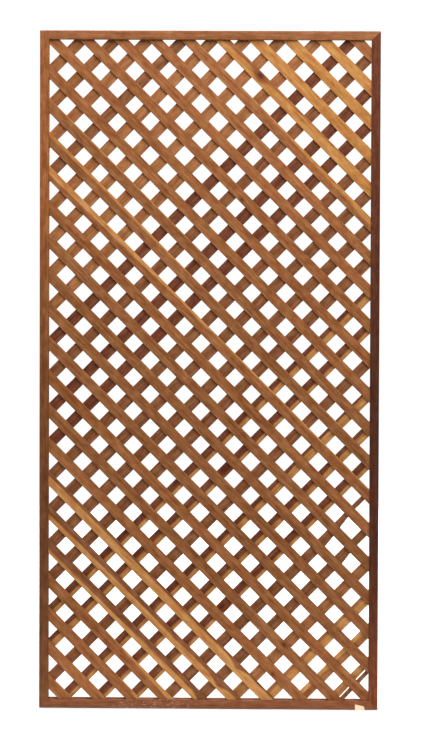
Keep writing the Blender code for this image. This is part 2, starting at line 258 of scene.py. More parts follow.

# Dark grain, mean and light grain of each tone as bright as the photo shows them, out of 255, and how
# rough the wood is. The chip's raw wood goes above 255 as painted light: it sits low, where the lamps
# give it less light.
Tone = namedtuple("Tone", "dark main light rough")
TONES = {
    "brown": Tone((120, 68, 36), (152, 96, 57), (178, 120, 77), 0.66),
    "medium": Tone((115, 67, 36), (147, 94, 57), (173, 118, 76), 0.66),
    "light": Tone((126, 73, 41), (158, 100, 60), (184, 125, 80), 0.66),
    "pale": Tone((129, 77, 45), (161, 105, 65), (188, 131, 87), 0.66),
    "golden": Tone((155, 96, 47), (188, 128, 69), (209, 155, 94), 0.64),
    "dull": Tone((104, 61, 37), (136, 86, 56), (161, 110, 76), 0.66),
    "dark": Tone((84, 42, 29), (117, 67, 46), (142, 91, 64), 0.66),
    "split": Tone((138, 84, 44), (173, 118, 69), (198, 149, 97), 0.66),
    # Painted light: the chip's raw wood is made brighter, against the weaker light low on the panel
    "raw": Tone((250, 204, 164), (275, 232, 198), (282, 246, 220), 0.80),
    "top_rail": Tone((124, 74, 42), (152, 96, 60), (175, 118, 78), 0.60),
    "left_stile": Tone((101, 58, 33), (125, 77, 46), (151, 99, 62), 0.60),
    "right_stile": Tone((79, 41, 27), (101, 56, 37), (122, 71, 49), 0.60),
    "bottom_rail": Tone((109, 61, 39), (138, 84, 55), (160, 105, 73), 0.60),
}
SAPWOOD = Tone((167, 105, 54), (197, 137, 79), (218, 165, 107), 0.64)
DULL_SAPWOOD = Tone((153, 96, 49), (187, 128, 72), (207, 156, 98), 0.64)
GRIME = Tone((112, 78, 62), (136, 98, 80), (158, 120, 102), 0.80)
GRIME_BAND = 0.006  # how far grime reaches up from the bottom rail's lower edge
SCUFF = (212, 168, 146)
SCUFFED = ((-0.35, 0), (-0.31, 1), (-0.08, 1), (-0.04, 0))  # where the bottom rail is scuffed
KNOT_RIM = (126, 68, 38)
KNOT_CORE = (86, 36, 18)

# What lies beyond the edge of the heartwood, where it isn't the usual sapwood
SECOND_TONES = {
    "bottom_rail": GRIME,
    "raw": TONES["raw"],
    "split": TONES["dull"],
    "light": TONES["golden"],
    "medium": TONES["golden"],
    "dark": DULL_SAPWOOD,
}

# Noise that draws the surfaces: waves per metre along and across the grain, how fine it gets, how
# much it swirls, and its share in the light and dark of the wood
Noise = namedtuple("Noise", "along across detail swirl share", defaults=(0.0, 0.0))
FIBRES = Noise(9, 420, 4, 0.0, 0.24)
STREAKS = Noise(7, 120, 4, 0.8, 0.21)
BANDS = Noise(2.2, 42, 2, 0.5, 0.12)
BLOTCHES = Noise(30, 60, 3, 0.0, 0.24)
HUES = Noise(26, 60, 3)
PORES = Noise(45, 1500, 2)
RUBS = Noise(60, 260, 3)
GRAIN_NOISES = (FIBRES, STREAKS, BANDS, BLOTCHES)
ZINC_MOTTLE = Noise(300, 300, 4)
RUST_SPECKS = Noise(900, 900, 2)
NOISE_MIDDLE = 0.5

# Where the grain's dark, main and light colours lie, in the noise that draws it
GRAIN_LOW = 0.40
GRAIN_MIDDLE = 0.50
GRAIN_HIGH = 0.60

# Where an effect starts in its noise, or in knot radii inside a knot's rim, where it is full, and
# how strong it then is
Effect = namedtuple("Effect", "start full strength")
TINT = Effect(0.50, 0.64, 1.0)
PITS = Effect(0.60, 0.72, 0.30)
KNOT_HALO = Effect(-1.6, 0.2, 0.7)
KNOT_HEART = Effect(0.0, 0.6, 0.8)
WEAR = Effect(0.42, 0.66, 0.30)
SCUFFING = Effect(0.60, 0.66, 1.0)
RUST = Effect(0.64, 0.74, 1.0)

# What redder and yellower stretches are multiplied by
REDDER = (1.03, 0.92, 0.87)
YELLOWER = (0.98, 1.04, 0.94)

# The wood's surface: how much its fibres change its roughness, and the height of fibres and pores
Relief = namedtuple("Relief", "strength height")
WOOD_RELIEF = Relief(0.35, 0.0006)
WOOD_ROUGH_SWING = 0.22
WOOD_SPECULAR = 0.15
FIBRE_HEIGHT = 0.8
PORE_HEIGHT = -0.5

# The steel of staples and fasteners
ZINC_RELIEF = Relief(0.2, 0.0001)
ZINC_COLOURS = ((0.35, (0.42, 0.42, 0.41)), (0.7, (0.66, 0.66, 0.64)))
RUST_COLOUR = (0.20, 0.08, 0.03)
ZINC_ROUGH = 0.43
ZINC_ROUGH_SWING = 0.3
ZINC_METALLIC = 0.9

# A layer of laths: which way it leans, its side of the panel (-1 is the front), its first wide
# lath, its first seed, its split lath, and what its laths look like
Layer = namedtuple("Layer", "name tilt side wide_from seed split tones sap knots wanes")
FRONT = Layer(
    name="front", tilt=LATTICE_ANGLE, side=-1, wide_from=WIDE_FRONT_FROM, seed=FRONT_SEED,
    split=None, tones=FRONT_TONES, sap=FRONT_SAP, knots=FRONT_KNOTS, wanes={},
)
BACK = Layer(
    name="back", tilt=-LATTICE_ANGLE, side=1, wide_from=WIDE_BACK_FROM, seed=BACK_SEED,
    split=SPLIT_LATH, tones=BACK_TONES, sap=BACK_SAP, knots=BACK_KNOTS, wanes=BACK_WANES,
)

# A lath: its middle and direction, and how far from its middle it enters and leaves the opening
Lath = namedtuple("Lath", "layer index middle direction low high width")

# Half the panel's width, half its depth, and its height
Size = namedtuple("Size", "side half_depth height")


def tone_of(lath):
    for name, numbers in lath.layer.tones.items():
        if lath.index in numbers:
            return name
    return "brown"


def add_object(name, data):
    """Puts a mesh, lamp or camera in the scene."""
    obj = bpy.data.objects.new(name, data)
    bpy.context.scene.collection.objects.link(obj)
    return obj


def add_piece(name, mesh, material):
    """Puts a mesh in the scene as a piece of the panel."""
    obj = add_object(name, mesh)
    obj.data.materials.append(material)
    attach(obj, "root")
    return obj


def made_mesh(bm, name):
    """A mesh of the bmesh, which ends here."""
    mesh = bpy.data.meshes.new(name)
    bm.to_mesh(mesh)
    bm.free()
    return mesh


def between(stops, at):
    """The value at a place, from (place, value) stops with straight runs between them."""
    for (start, low), (end, high) in zip(stops, stops[1:]):
        if at <= end:
            return low + (high - low) * max(at - start, 0) / (end - start)
    return stops[-1][1]


def new_material(name):
    """A material, its node tree and its shader."""
    material = bpy.data.materials.new(name)
    material.use_nodes = True
    tree = material.node_tree
    return material, tree, tree.nodes["Principled BSDF"]


def link(tree, start, end):
    tree.links.new(start, end)


def node(tree, kind, **values):
    made = tree.nodes.new(kind)
    for key, value in values.items():
        setattr(made, key, value)
    return made


def attribute(tree, name, output):
    made = node(tree, "ShaderNodeAttribute", attribute_name=name)
    return made.outputs[output]


def ramp(tree, factor, stops):
    """A colour ramp with (position, colour) stops."""
    made = node(tree, "ShaderNodeValToRGB")
    elements = made.color_ramp.elements
    while len(elements) < len(stops):
        elements.new(0.5)
    for element, (position, colour) in zip(elements, stops):
        element.position = position
        element.color = (*colour, 1.0)
    link(tree, factor, made.inputs["Fac"])
    return made.outputs["Color"]


def drawn_out(tree, place, kind):
    """A noise, drawn out along the grain."""
    mapping = node(tree, "ShaderNodeMapping")
    mapping.inputs["Scale"].default_value = (kind.along, kind.across, kind.across)
    link(tree, place, mapping.inputs["Vector"])
    made = node(tree, "ShaderNodeTexNoise")
    made.inputs["Scale"].default_value = 1.0
    made.inputs["Detail"].default_value = kind.detail
    made.inputs["Distortion"].default_value = kind.swirl
    link(tree, mapping.outputs["Vector"], made.inputs["Vector"])
    return made.outputs["Fac"]


def maths(tree, operation, first, second):
    """A sum or the like of two values, each a number or another node's output."""
    made = node(tree, "ShaderNodeMath", operation=operation)
    for socket, value in zip(made.inputs, (first, second)):
        if isinstance(value, (int, float)):
            socket.default_value = value
        else:
            link(tree, value, socket)
    return made.outputs["Value"]


def smooth_range(tree, value, low, high):
    """0 below the low value and 1 above the high one, with a smooth change between them."""
    made = node(tree, "ShaderNodeMapRange", interpolation_type="SMOOTHSTEP")
    made.inputs["From Min"].default_value = low
    made.inputs["From Max"].default_value = high
    link(tree, value, made.inputs["Value"])
    return made.outputs["Result"]


def mixed(tree, factor, first, second, blend="MIX"):
    """Two colours, each given as numbers or as another node's output, mixed by a factor."""
    made = node(tree, "ShaderNodeMix", data_type="RGBA", blend_type=blend)
    colour_in = [socket for socket in made.inputs if socket.type == "RGBA"]
    link(tree, factor, made.inputs[0])
    for socket, value in zip(colour_in, (first, second)):
        if isinstance(value, tuple):
            socket.default_value = (*value, 1.0)
        else:
            link(tree, value, socket)
    return [socket for socket in made.outputs if socket.type == "RGBA"][0]


def swing(tree, value, size):
    """A noise about 0, times a size."""
    return maths(tree, "MULTIPLY", maths(tree, "SUBTRACT", value, NOISE_MIDDLE), size)


def shown(tree, value, effect):
    """How strongly an effect shows."""
    share = smooth_range(tree, value, effect.start, effect.full)
    return maths(tree, "MULTIPLY", share, effect.strength)


def emboss(tree, shader, height, relief):
    """Makes a surface look bumpy."""
    bump = node(tree, "ShaderNodeBump")
    bump.inputs["Strength"].default_value = relief.strength
    bump.inputs["Distance"].default_value = relief.height
    link(tree, height, bump.inputs["Height"])
    link(tree, bump.outputs["Normal"], shader.inputs["Normal"])


def albedo(seen):
    """The colour of a surface that looks like this, out of 255, in this scene's light."""
    linear = []
    for value in seen:
        share = value / 255
        # This undoes the curve that pictures store their values with
        flat = share / 12.92 if share < 0.04 else ((share + 0.055) / 1.055) ** 2.4
        linear.append(min(max((flat - SHEEN) / BRIGHTNESS, DARKEST), LIGHTEST))
    return tuple(linear)


def figure(tree, tone, grain):
    """Colours a tone's dark, main and light grain."""
    stops = (
        (GRAIN_LOW, albedo(tone.dark)),
        (GRAIN_MIDDLE, albedo(tone.main)),
        (GRAIN_HIGH, albedo(tone.light)),
    )
    return ramp(tree, grain, stops)


def heart_and_sap(tree, noises, tone, second_tone):
    """The heartwood's grain, and beyond its wandering edge that of the sapwood."""
    grain = NOISE_MIDDLE
    for kind in GRAIN_NOISES:
        grain = maths(tree, "ADD", grain, swing(tree, noises[kind], kind.share))
    depth = maths(tree, "ADD", attribute(tree, "sap", "Fac"), swing(tree, noises[BANDS], SAP_WANDER))
    inside = smooth_range(tree, depth, -SAP_BLUR, SAP_BLUR)
    return mixed(tree, inside, figure(tree, tone, grain), figure(tree, second_tone, grain))


def tinted(tree, hue, colour):
    """Redder stretches where the hue's noise is high, and yellower ones where it is low."""
    colour = mixed(tree, shown(tree, hue, TINT), colour, REDDER, "MULTIPLY")
    low = maths(tree, "SUBTRACT", 1.0, hue)
    return mixed(tree, shown(tree, low, TINT), colour, YELLOWER, "MULTIPLY")


def knotted(tree, colour):
    """A knot, with wood round it that gets darker towards it."""
    length = node(tree, "ShaderNodeVectorMath", operation="LENGTH")
    link(tree, attribute(tree, "knot", "Vector"), length.inputs[0])
    inwards = maths(tree, "SUBTRACT", 1.0, length.outputs["Value"])
    colour = mixed(tree, shown(tree, inwards, KNOT_HALO), colour, albedo(KNOT_RIM))
    return mixed(tree, shown(tree, inwards, KNOT_HEART), colour, albedo(KNOT_CORE))


def rubbed(tree, noises, tone, colour):
    """Lighter wood on worn arrises, and pale scuffs."""
    wear = shown(tree, noises[BLOTCHES], WEAR)
    worn = maths(tree, "MULTIPLY", wear, attribute(tree, "wear", "Fac"))
    colour = mixed(tree, worn, colour, albedo(tone.light))
    scuffing = shown(tree, noises[RUBS], SCUFFING)
    scuffed = maths(tree, "MULTIPLY", scuffing, attribute(tree, "scuff", "Fac"))
    return mixed(tree, scuffed, colour, albedo(SCUFF))


def shaded(tree, colour):
    """A colour times the piece's shade: its own tone, and on the frame also painted light and shade.
    """
    made = node(tree, "ShaderNodeVectorMath", operation="SCALE")
    link(tree, colour, made.inputs[0])
    link(tree, attribute(tree, "shade", "Fac"), made.inputs["Scale"])
    return made.outputs["Vector"]


def wood(name, tone, second_tone):
    """Stained wood with grain, sapwood, pores, knots, worn arrises and scuffs."""
    material, tree, shader = new_material(name)
    place = attribute(tree, "grain", "Vector")
    noises = {kind: drawn_out(tree, place, kind) for kind in (*GRAIN_NOISES, HUES, PORES, RUBS)}
    pits = smooth_range(tree, noises[PORES], PITS.start, PITS.full)
    colour = heart_and_sap(tree, noises, tone, second_tone)
    colour = tinted(tree, noises[HUES], colour)
    colour = mixed(tree, maths(tree, "MULTIPLY", pits, PITS.strength), colour, albedo(tone.dark))
    colour = knotted(tree, colour)
    colour = rubbed(tree, noises, tone, colour)
    link(tree, shaded(tree, colour), shader.inputs["Base Color"])
    rough = maths(tree, "ADD", swing(tree, noises[FIBRES], WOOD_ROUGH_SWING), tone.rough)
    link(tree, rough, shader.inputs["Roughness"])
    shader.inputs["Specular IOR Level"].default_value = WOOD_SPECULAR
    fibre_height = maths(tree, "MULTIPLY", noises[FIBRES], FIBRE_HEIGHT)
    pit_height = maths(tree, "MULTIPLY", pits, PORE_HEIGHT)
    emboss(tree, shader, maths(tree, "ADD", fibre_height, pit_height), WOOD_RELIEF)
    return material


def steel(name):
    """Dull zinc plate with faint mottling and rust specks."""
    material, tree, shader = new_material(name)
    place = node(tree, "ShaderNodeTexCoord").outputs["Object"]
    mottle = drawn_out(tree, place, ZINC_MOTTLE)
    rusty = shown(tree, drawn_out(tree, place, RUST_SPECKS), RUST)
    colour = mixed(tree, rusty, ramp(tree, mottle, ZINC_COLOURS), RUST_COLOUR)
    link(tree, colour, shader.inputs["Base Color"])
    rough = maths(tree, "ADD", swing(tree, mottle, ZINC_ROUGH_SWING), ZINC_ROUGH)
    link(tree, rough, shader.inputs["Roughness"])
    shader.inputs["Metallic"].default_value = ZINC_METALLIC
    emboss(tree, shader, mottle, ZINC_RELIEF)
    return material


def arc(centre, radius, start, end):
    """Points of an arc, with its start and end in degrees."""
    points = []
    for step in range(ARC_STEPS + 1):
        angle = math.radians(start + (end - start) * step / ARC_STEPS)
        points.append((centre[0] + radius * math.cos(angle), centre[1] + radius * math.sin(angle)))
    return points


def bridge(bm, rings):
    """Faces between rings of vertices, with a cap on both ends."""
    for low, high in zip(rings, rings[1:]):
        for here in range(len(low)):
            after = (here + 1) % len(low)
            bm.faces.new((low[here], low[after], high[after], high[here]))
    bm.faces.new(rings[0])
    bm.faces.new(rings[-1])


def slab(outline, front, thickness):
    """An outline of (x, z) points, made solid from its front to the back."""
    bm = bmesh.new()
    face = bm.faces.new([bm.verts.new((x, front, z)) for x, z in outline])
    extruded = bmesh.ops.extrude_face_region(bm, geom=[face], use_keep_orig=True)
    moved = [part for part in extruded["geom"] if isinstance(part, bmesh.types.BMVert)]
    bmesh.ops.translate(bm, verts=moved, vec=(0, thickness, 0))
    bmesh.ops.recalc_face_normals(bm, faces=bm.faces)
    return bm


def cut_away(bm, point, outward):
    """Cuts off what lies beyond a plane, and closes the cut."""
    everything = bm.verts[:] + bm.edges[:] + bm.faces[:]
    cut = bmesh.ops.bisect_plane(
        bm, geom=everything, plane_co=point, plane_no=outward, clear_outer=True
    )
    rim = [part for part in cut["geom_cut"] if isinstance(part, bmesh.types.BMEdge)]
    if rim:
        bmesh.ops.edgeloop_fill(bm, edges=rim)


def finished(bm, name):
    """A smooth mesh of the bmesh, which is in the panel's own frame."""
    bmesh.ops.recalc_face_normals(bm, faces=bm.faces)
    mesh = made_mesh(bm, name)
    mesh.shade_smooth()
    mesh.set_sharp_from_angle(angle=SHARP_ANGLE)
    return mesh


def write_values(mesh, name, values):
    """Stores a number or a vector for every vertex of a mesh."""
    vectors = not isinstance(values[0], float)
    stored = mesh.attributes.new(name, "FLOAT_VECTOR" if vectors else "FLOAT", "POINT")
    flat = [part for value in values for part in value] if vectors else values
    stored.data.foreach_set("vector" if vectors else "value", flat)


def never(local):
    return 0.0


def always(local):
    return 1.0


def paint(mesh, back, seed, sap_at, wear_at, shade_at=always, scuff_at=never, knot=NO_KNOT):
    """Gives a mesh its grain, knot, sapwood, wear, shade and scuffs, from places on the piece."""
    shift = Vector([seed * step for step in GRAIN_SHIFT])
    centre = back @ Vector((knot.x, 0, knot.z))
    places = [back @ vertex.co for vertex in mesh.vertices]
    write_values(mesh, "grain", [Vector((place.x, place.z, place.y)) + shift for place in places])
    write_values(mesh, "knot", [
        ((place.x - centre.x) * KNOT_STRETCH / knot.radius, (place.z - centre.z) / knot.radius, 0.0)
        for place in places
    ])
    values_at = {"sap": sap_at, "wear": wear_at, "shade": shade_at, "scuff": scuff_at}
    for name, value_at in values_at.items():
        write_values(mesh, name, [value_at(place) for place in places])


def lath_section(width):
    """Section of a lath as (across, depth) points, with rounded arrises."""
    side, half = width / 2, LATH_THICKNESS / 2
    points = []
    for turn, (sx, sy) in enumerate(((1, 1), (-1, 1), (-1, -1), (1, -1))):
        centre = (sx * (side - LATH_ARRIS), sy * (half - LATH_ARRIS))
        rounded = arc(centre, LATH_ARRIS, 90 * turn, 90 * turn + 90)
        on_face = (sx * (side - WEAR_BAND), sy * half)
        on_side = (sx * side, sy * (half - WEAR_BAND))
        before, after = (on_side, on_face) if turn % 2 == 0 else (on_face, on_side)
        points += [before] + rounded + [after]
    return points


def edge_seed(lath, edge):
    """A number of its own for each edge of every lath."""
    return lath.index + EDGE_SEEDS * edge + LAYER_SEEDS * lath.layer.side


def wobble(along, seed):
    """How far an edge is from straight at a place along it, about -1 to 1."""
    long_wave = noise.noise(Vector((along * LONG_WAVES, seed * ROWS_APART, LONG_ROW)))
    short_wave = noise.noise(Vector((along * SHORT_WAVES, seed, SHORT_ROW)))
    return long_wave + SHORT_SHARE * short_wave


def straight_part(lath, start, end):
    """The full lath as rings of its section along X."""
    bm = bmesh.new()
    count = max(2, round((end - start) / LATH_STEP))
    rings = []
    for step in range(count + 1):
        along = start + (end - start) * step / count
        ring = []
        for across, depth in lath_section(lath.width):
            edge = 1 if across > 0 else -1
            shift = EDGE_WAVE * wobble(along, edge_seed(lath, edge))
            ring.append(bm.verts.new((along, depth, across + shift)))
        rings.append(ring)
    bridge(bm, rings)
    return bm


def plank(outline):
    """An outline of (x, z) points with the lath's thickness, its edges rounded."""
    half = LATH_THICKNESS / 2
    bm = slab(outline, -half, LATH_THICKNESS)
    rims = [edge for edge in bm.edges if abs(edge.verts[0].co.y - edge.verts[1].co.y) < half]
    bmesh.ops.bevel(bm, geom=rims, offset=LATH_ARRIS, segments=LATH_ARRIS_STEPS, affect="EDGES")
    return bm


def waney_part(lath, start, end):
    """A lath that loses wood from its lower edge towards its high end."""
    side = lath.width / 2
    lower = [(lath.high - back, lost - side) for back, lost in lath.layer.wanes[lath.index]]
    return plank([(end, side), (start, side), (start, -side), *lower, (end, lower[-1][1])])


def split_part(lath, start, end):
    """The cracked lath: its lower strip springs away from the crack's tip."""
    side = lath.width / 2
    crack = SPLIT_STRIP_WIDTH - side
    tip = lath.high - SPLIT_END
    bend = tip - SPLIT_BEND
    slant = math.tan(SPLIT_TURN)
    return plank([
        (end, -side),
        (end, side),
        (start, side),
        (start, crack - (tip - start) * slant),
        (tip, crack),
        (bend, crack - SPLIT_SPRING),
        (start, crack - SPLIT_SPRING - (bend - start) * slant),
        (start, -side - SPLIT_SPRING - (bend - start) * slant),
        (bend, -side - SPLIT_SPRING),
        (tip, -side),
    ])


def lath_place(lath):
    """Turns a lath's own coordinates into the panel's: X along it, Z across it."""
    turn = math.atan2(-lath.direction.z, lath.direction.x)
    return Matrix.Translation(lath.middle) @ Matrix.Rotation(turn, 4, "Y")


def sap_value(lath, knot_along):
    """How far inside the sapwood a place of the lath is. The sapwood is narrower beside a knot."""
    sap = lath.layer.sap.get(lath.index)

    def value(local):
        if sap is None:
            return NO_SAP
        width = between(((lath.low, sap.left), (0, sap.middle), (lath.high, sap.right)), local.x)
        depth = lath.width / 2 - sap.edge * local.z
        squeezed = KNOT_SQUEEZE * math.exp(-((local.x - knot_along) / KNOT_REACH) ** 2)
        return width - depth - squeezed

    return value


def wear_value(lath):
    """1 on a lath's rounded arrises, falling to 0 on its faces."""
    def value(local):
        from_side = lath.width / 2 - abs(local.z)
        from_face = LATH_THICKNESS / 2 - abs(local.y)
        return 1.0 if from_side < LATH_ARRIS and from_face < LATH_ARRIS else 0.0

    return value


def lath_body(lath, limits):
    """A lath's shape in the panel's own frame, sawn off inside the frame's groove."""
    spare = 2 * (lath.width + GROOVE_DEPTH)
    start, end = lath.low - spare, lath.high + spare
    if lath.index == lath.layer.split:
        bm = split_part(lath, start, end)
    elif lath.index in lath.layer.wanes:
        bm = waney_part(lath, start, end)
    else:
        bm = straight_part(lath, start, end)
    bm.transform(lath_place(lath))
    low, high = limits
    cut_away(bm, (low[0], 0, 0), (-1, 0, 0))
    cut_away(bm, (high[0], 0, 0), (1, 0, 0))
    cut_away(bm, (0, 0, low[1]), (0, 0, -1))
    cut_away(bm, (0, 0, high[1]), (0, 0, 1))
    return bm


def make_lath(lath, limits, materials):
    """One lath as a piece of the panel."""
    name = "{}_lath_{:02d}".format(lath.layer.name, lath.index + 1)
    mesh = finished(lath_body(lath, limits), name)
    knot = lath.layer.knots.get(lath.index, NO_KNOT)
    back = lath_place(lath).inverted()
    sap = sap_value(lath, (back @ Vector((knot.x, 0, knot.z))).x)
    paint(mesh, back, lath.layer.seed + lath.index, sap, wear_value(lath), knot=knot)
    tone = tone_of(lath)
    return add_piece(name, mesh, materials[tone])


def clusters(points):
    """Splits points into groups, one for each lath, by their place across."""
    found = []
    last = -math.inf
    for along, across in sorted(points, key=lambda point: point[1]):
        if across - last > LAYER_SPLIT:
            found.append([])
        found[-1].append((along, across))
        last = across
    return found


def upper_edge(points):
    """Both ends of the upper edge of one lath's outer face."""
    middle = sum(along for along, across in points) / len(points)
    low = [point for point in points if point[0] < middle]
    high = [point for point in points if point[0] >= middle]
    return [max(half, key=lambda point: point[1]) for half in (low, high)]


def outer_points(cad, layer):
    """A node's corners on a layer's outer face, as (along, across)."""
    outer = layer.side * (LAYER_DEPTH + LATH_THICKNESS / 2)
    points = []
    for vertex in cad.data.vertices:
        x, y, z = cad.matrix_world @ vertex.co
        if abs(y - outer) < CAD_ARRIS / 2:
            along = x * math.cos(layer.tilt) - z * math.sin(layer.tilt)
            across = x * math.sin(layer.tilt) + z * math.cos(layer.tilt)
            points.append((along, across))
    return points


def visible_run(point, direction, opening):
    """Where a line enters and leaves the frame's opening, measured from the point."""
    low, high = opening
    spans = []
    for axis, sides in ((0, (low[0], high[0])), (2, (low[1], high[1]))):
        spans.append(sorted((side - point[axis]) / direction[axis] for side in sides))
    return max(span[0] for span in spans), min(span[1] for span in spans)


def read_lath(layer, index, edge, opening):
    """A lath, from both ends of its upper edge."""
    (low_along, low_across), (high_along, high_across) = edge
    width = WIDE_LATH_WIDTH if index >= layer.wide_from else LATH_WIDTH
    has_cad_arris = index != layer.split and index not in layer.wanes
    inset = CAD_ARRIS if has_cad_arris else 0
    angle = layer.tilt - math.atan2(high_across - low_across, high_along - low_along)
    direction = Vector((math.cos(angle), 0, -math.sin(angle)))
    upward = Vector((math.sin(angle), 0, math.cos(angle)))
    along, across = (low_along + high_along) / 2, (low_across + high_across) / 2
    on_edge = Vector((
        along * math.cos(layer.tilt) + across * math.sin(layer.tilt),
        layer.side * LAYER_DEPTH,
        across * math.cos(layer.tilt) - along * math.sin(layer.tilt),
    ))
    centre = on_edge - upward * (width / 2 - inset)
    low, high = visible_run(centre, direction, opening)
    middle = centre + direction * (low + high) / 2
    half = (high - low) / 2
    return Lath(layer, index, middle, direction, -half, half, width)


def read_laths(nodes, layer, opening):
    """The laths of a layer, from the upper edges of the CAD laths."""
    edges = []
    for cad in nodes:
        edges += [upper_edge(points) for points in clusters(outer_points(cad, layer))]
    edges.sort(key=lambda edge: edge[0][1])
    return [read_lath(layer, index, edge, opening) for index, edge in enumerate(edges)]


def frame_profile(half_depth):
    """The frame stock's section as (inward, depth) points."""
    floor = FRAME_FACE - GROOVE_DEPTH
    groove = GROOVE_WIDTH / 2
    points = arc((OUTER_ARRIS, half_depth - OUTER_ARRIS), OUTER_ARRIS, 90, 180)
    points += arc((OUTER_ARRIS, OUTER_ARRIS - half_depth), OUTER_ARRIS, 180, 270)
    points += arc((FRAME_FACE - INNER_ARRIS, INNER_ARRIS - half_depth), INNER_ARRIS, -90, 0)
    # The groove's painted light ends at these points beside it
    lip = groove + GROOVE_LIGHT_EDGE
    points += [(FRAME_FACE, -lip), (FRAME_FACE, -groove), (floor, -groove)]
    points += [(floor, groove), (FRAME_FACE, groove), (FRAME_FACE, lip)]
    points += arc((FRAME_FACE - INNER_ARRIS, half_depth - INNER_ARRIS), INNER_ARRIS, 0, 90)
    return points


def frame_body(length, half_depth):
    """A mitred member: X along it, Z into the panel."""
    bm = bmesh.new()
    count = round(length / FRAME_STEP)
    reach = length / 2 - MITRE_GAP
    rings = []
    for step in range(count + 1):
        share = 2 * step / count - 1
        rings.append([
            bm.verts.new((share * (reach - inward), depth, inward))
            for inward, depth in frame_profile(half_depth)
        ])
    bridge(bm, rings)
    for side in (-1, 1):
        for step in range(1, CORNER_STEPS):
            lean = math.radians(MITRE_DEGREES * step / CORNER_STEPS)
            outward = Vector((side * math.sin(lean), 0, -math.cos(lean)))
            centre = Vector((side * (length / 2 - CORNER_RADIUS), 0, CORNER_RADIUS))
            cut_away(bm, centre + CORNER_RADIUS * outward, outward)
    return bm


def frame_wear(half_depth):
    """1 on a member's rounded arrises, falling to 0 on its faces."""
    def value(local):
        from_face = half_depth - abs(local.y)
        at_outer = max(local.z, from_face) < OUTER_ARRIS * WORN_SHARE
        at_inner = max(FRAME_FACE - local.z, from_face) < INNER_ARRIS * WORN_SHARE
        return 1.0 if at_outer or at_inner else 0.0

    return value


def frame_tone_and_light(stops, length, place):
    """How light a member is made along it, from its low or left end, partly its own tone and partly
    painted light and shade, and with painted light in its groove.
    """
    along = place.to_3x3() @ Vector((1, 0, 0))
    ahead = 1 if along.x + along.z > 0 else -1

    def value(local):
        # Painted light in the groove, against the shade that falls there
        groove_lit = abs(local.y) < (GROOVE_WIDTH + GROOVE_LIGHT_EDGE) / 2 and local.z > OUTER_ARRIS
        return between(stops, 0.5 + ahead * local.x / length) * (GROOVE_PAINTED_LIGHT if groove_lit else 1.0)

    return value


def scuffs(local):
    """How much the bottom rail is scuffed at a place along it."""
    return float(between(SCUFFED, local.x))


def clean(local):
    return NO_SAP


def grime(local):
    """How far inside the bottom rail's grime a place is."""
    return GRIME_BAND - local.z


def outer_size():
    """The panel's size, from the outer faces of its members: their own ends are rounded off."""
    side, half_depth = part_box("right_stile")[1][:2]
    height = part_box("top_rail")[1][2]
    return Size(side - INSIDE, half_depth - INSIDE, height - INSIDE)


def make_frame(size, materials):
    """The four frame members."""
    width = 2 * size.side
    quarter = math.pi / 2
    places = {
        "bottom_rail": (width, (0, 0, 0), 0),
        "top_rail": (width, (0, 0, size.height), 2 * quarter),
        "left_stile": (size.height, (-size.side, 0, size.height / 2), quarter),
        "right_stile": (size.height, (size.side, 0, size.height / 2), -quarter),
    }
    for number, (name, (length, spot, tilt)) in enumerate(places.items()):
        place = Matrix.Translation(spot) @ Matrix.Rotation(tilt, 4, "Y")
        bm = frame_body(length, size.half_depth)
        bm.transform(place)
        member = add_piece(name + "_wood", finished(bm, name), materials[name])
        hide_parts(name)
        lowest = name == "bottom_rail"
        if lowest:
            knock_out_chip(member, size, materials["raw"])
        edge = grime if lowest else clean
        scuff = scuffs if lowest else never
        # Partly the wood's own tone, partly painted light and shade along the member
        shade = frame_tone_and_light(FRAME_TONE_AND_LIGHT[name], length, place)
        wear = frame_wear(size.half_depth)
        paint(member.data, place.inverted(), FRAME_SEED + number, edge, wear, shade, scuff)


def chip_cutter(size, raw):
    """The wood that is gone from the bottom rail, as a body to cut with."""
    tall_end = size.side - CHIP_FROM_RIGHT
    short_end = tall_end + CHIP_LENGTH
    outline = [
        (tall_end, -CUTTER_SPARE),
        (short_end + CHIP_SPLAY, -CUTTER_SPARE),
        (short_end, CHIP_SHORT),
        (tall_end, CHIP_TALL),
    ]
    bm = slab(outline, -size.half_depth - CUTTER_SPARE, CUTTER_SPARE + CHIP_DEPTH)
    mesh = made_mesh(bm, "chip")
    mesh.materials.append(raw)
    return add_object("chip", mesh)


def knock_out_chip(member, size, raw):
    """Takes the chip out of the bottom rail, and shows raw wood there."""
    cutter = chip_cutter(size, raw)
    step = member.modifiers.new("chip", "BOOLEAN")
    step.operation = "DIFFERENCE"
    step.solver = "EXACT"
    step.material_mode = "TRANSFER"
    step.object = cutter
    cut = member.evaluated_get(bpy.context.evaluated_depsgraph_get())
    member.data = bpy.data.meshes.new_from_object(cut)
    member.modifiers.clear()
    bpy.data.objects.remove(cutter)


def crossing(front, back):
    """Where two laths cross, in the panel's plane."""
    a, b = front.direction, back.direction
    gap = back.middle - front.middle
    turn = a.x * b.z - a.z * b.x
    along = (gap.x * b.z - gap.z * b.x) / turn
    return front.middle + a * along


def staple_spot(front, back, opening):
    """Where the staple of a crossing goes, or None if the frame is in the way."""
    spot = crossing(front, back)
    low, high = opening
    x = min(max(spot.x, low[0] + STAPLE_CLEAR), high[0] - STAPLE_CLEAR)
    z = min(max(spot.z, low[1] + STAPLE_CLEAR), high[1] - STAPLE_CLEAR)
    if math.hypot(x - spot.x, z - spot.z) > STAPLE_STRAY:
        return None
    return x, z


